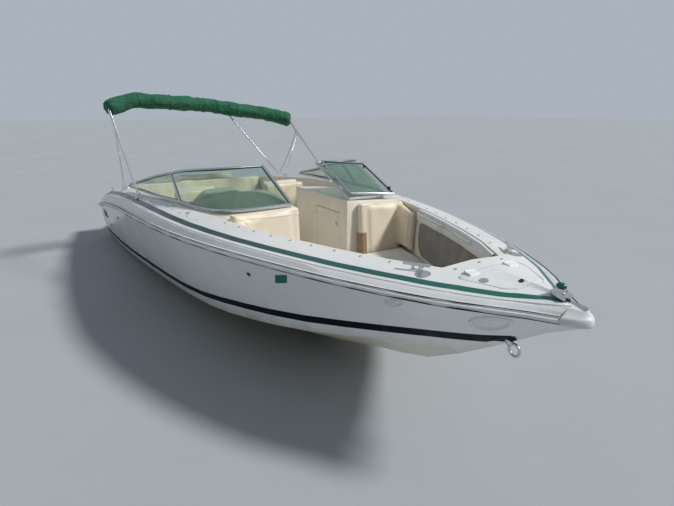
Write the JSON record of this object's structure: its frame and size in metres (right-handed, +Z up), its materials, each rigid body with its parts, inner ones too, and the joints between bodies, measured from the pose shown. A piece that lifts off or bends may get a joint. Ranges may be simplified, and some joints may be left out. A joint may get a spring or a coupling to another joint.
{
  "type": "bowrider speedboat",
  "caption": "Open-bow runabout with stern drive: bow and cockpit seating, windshield with a folding centre window, stowed folding top, engine hatch, tilting and steering drive.",
  "frame": {"origin": "on the centreline at the transom, at the height of the water's surface", "axes": "+X forward to the stem, +Y to port, +Z up"},
  "size_m": [8.165, 2.5952, 2.931],
  "materials": {
    "gelcoat": "gloss gelcoat",
    "liner_gelcoat": "satin gelcoat",
    "rail": "satin vinyl",
    "dash": "grained moulding",
    "frame_metal": "anodised",
    "stainless": "polished stainless steel",
    "tinted_glass": "clear, slightly tinted",
    "canvas": "woven acrylic canvas",
    "vinyl": "grained marine vinyl",
    "seat_shell": "moulded plastic",
    "dark_cast": "enamel on cast aluminium",
    "engine_enamel": "enamel",
    "black_plastic": "moulded plastic",
    "wheel_rim": "soft grained plastic"
  },
  "bodies": {
    "root": {"hull": "gelcoat", "deck": "gelcoat", "liner": "liner_gelcoat", "rub_rail": "rail", "port_console": "liner_gelcoat", "helm_console": "liner_gelcoat", "instrument_panel": "black_plastic", "dash_cowl": "dash", "windshield_frames": "frame_metal", "windshield_glass": "tinted_glass", "bimini_mounts": "stainless", "seat_pedestals": "frame_metal", "bench_base": "liner_gelcoat", "bench_cushion": "vinyl", "bench_backrest": "vinyl", "bow_cushions": "vinyl", "bow_backrests": "vinyl", "bow_grab_rails": "stainless", "engine": "engine_enamel", "swim_platform": "gelcoat", "platform_brackets": "stainless", "transom_plate": "dark_cast", "steering_column": "black_plastic", "throttle": "black_plastic", "mooring_fittings": "stainless", "bow_light": "stainless"},
    "door": {"console_door": "liner_gelcoat"},
    "window": {"walkway_window_frame": "frame_metal", "walkway_window_glass": "tinted_glass"},
    "bimini": {"bimini_bows": "frame_metal", "bimini_boot": "canvas", "bimini_struts": "frame_metal", "bimini_pole": "frame_metal"},
    "helm_seat": {"helm_seat_shell": "seat_shell", "helm_seat_pads": "vinyl"},
    "passenger_seat": {"passenger_seat_shell": "seat_shell", "passenger_seat_pads": "vinyl"},
    "hatch": {"engine_hatch": "gelcoat", "sunpad": "vinyl"},
    "lid": {"anchor_lid": "gelcoat"},
    "fork": {"gimbal_ring": "dark_cast", "trim_cylinders": "dark_cast"},
    "drive": {"drive_leg": "dark_cast"},
    "screw": {"propeller": "frame_metal"},
    "wheel": {"steering_wheel": "wheel_rim"}
  },
  "joints": [
    {"name": "door_hinge", "type": "hinge", "parent": "root", "child": "door", "pos_m": [4.369, 0.2447, 0.6975], "axis": [0, 0, -1], "range_deg": [0, 90]},
    {"name": "window_hinge", "type": "hinge", "parent": "root", "child": "window", "pos_m": [4.93727, 0.278, 1.22447], "axis": [0.9148, 0, -0.4038], "range_deg": [0, 186.59]},
    {"name": "bimini_fold", "type": "hinge", "parent": "root", "child": "bimini", "pos_m": [3.08, 0, 1.106], "axis": [0, 1, 0], "range_deg": [0, 50]},
    {"name": "helm_seat_swivel", "type": "hinge", "parent": "root", "child": "helm_seat", "pos_m": [3.25, -0.52, 0], "axis": [0, 0, 1], "range_deg": [-180, 180]},
    {"name": "passenger_seat_swivel", "type": "hinge", "parent": "root", "child": "passenger_seat", "pos_m": [3.25, 0.52, 0], "axis": [0, 0, 1], "range_deg": [-180, 180]},
    {"name": "hatch_hinge", "type": "hinge", "parent": "root", "child": "hatch", "pos_m": [0.106, 0, 0.74586], "axis": [0, -1, 0], "range_deg": [0, 60]},
    {"name": "lid_hinge", "type": "hinge", "parent": "root", "child": "lid", "pos_m": [6.806, 0, 1.14429], "axis": [0, -1, 0], "range_deg": [0, 100]},
    {"name": "drive_steer", "type": "hinge", "parent": "root", "child": "fork", "pos_m": [-0.14, 0, -0.06], "axis": [0, 0, 1], "range_deg": [-28, 28]},
    {"name": "drive_tilt", "type": "hinge", "parent": "fork", "child": "drive", "pos_m": [-0.238, 0, -0.02], "axis": [0, 1, 0], "range_deg": [0, 50]},
    {"name": "propeller_turn", "type": "hinge", "parent": "drive", "child": "screw", "pos_m": [-0.62, 0, -0.6], "axis": [1, 0, 0], "continuous": true},
    {"name": "wheel_turn", "type": "hinge", "parent": "root", "child": "wheel", "pos_m": [3.8, -0.52, 0.985], "axis": [0.8829, 0, -0.4695], "range_deg": [-560, 560]}
  ],
  "couplings": [
    {"joint": "wheel_turn", "follows": "drive_steer", "ratio": 20}
  ]
}
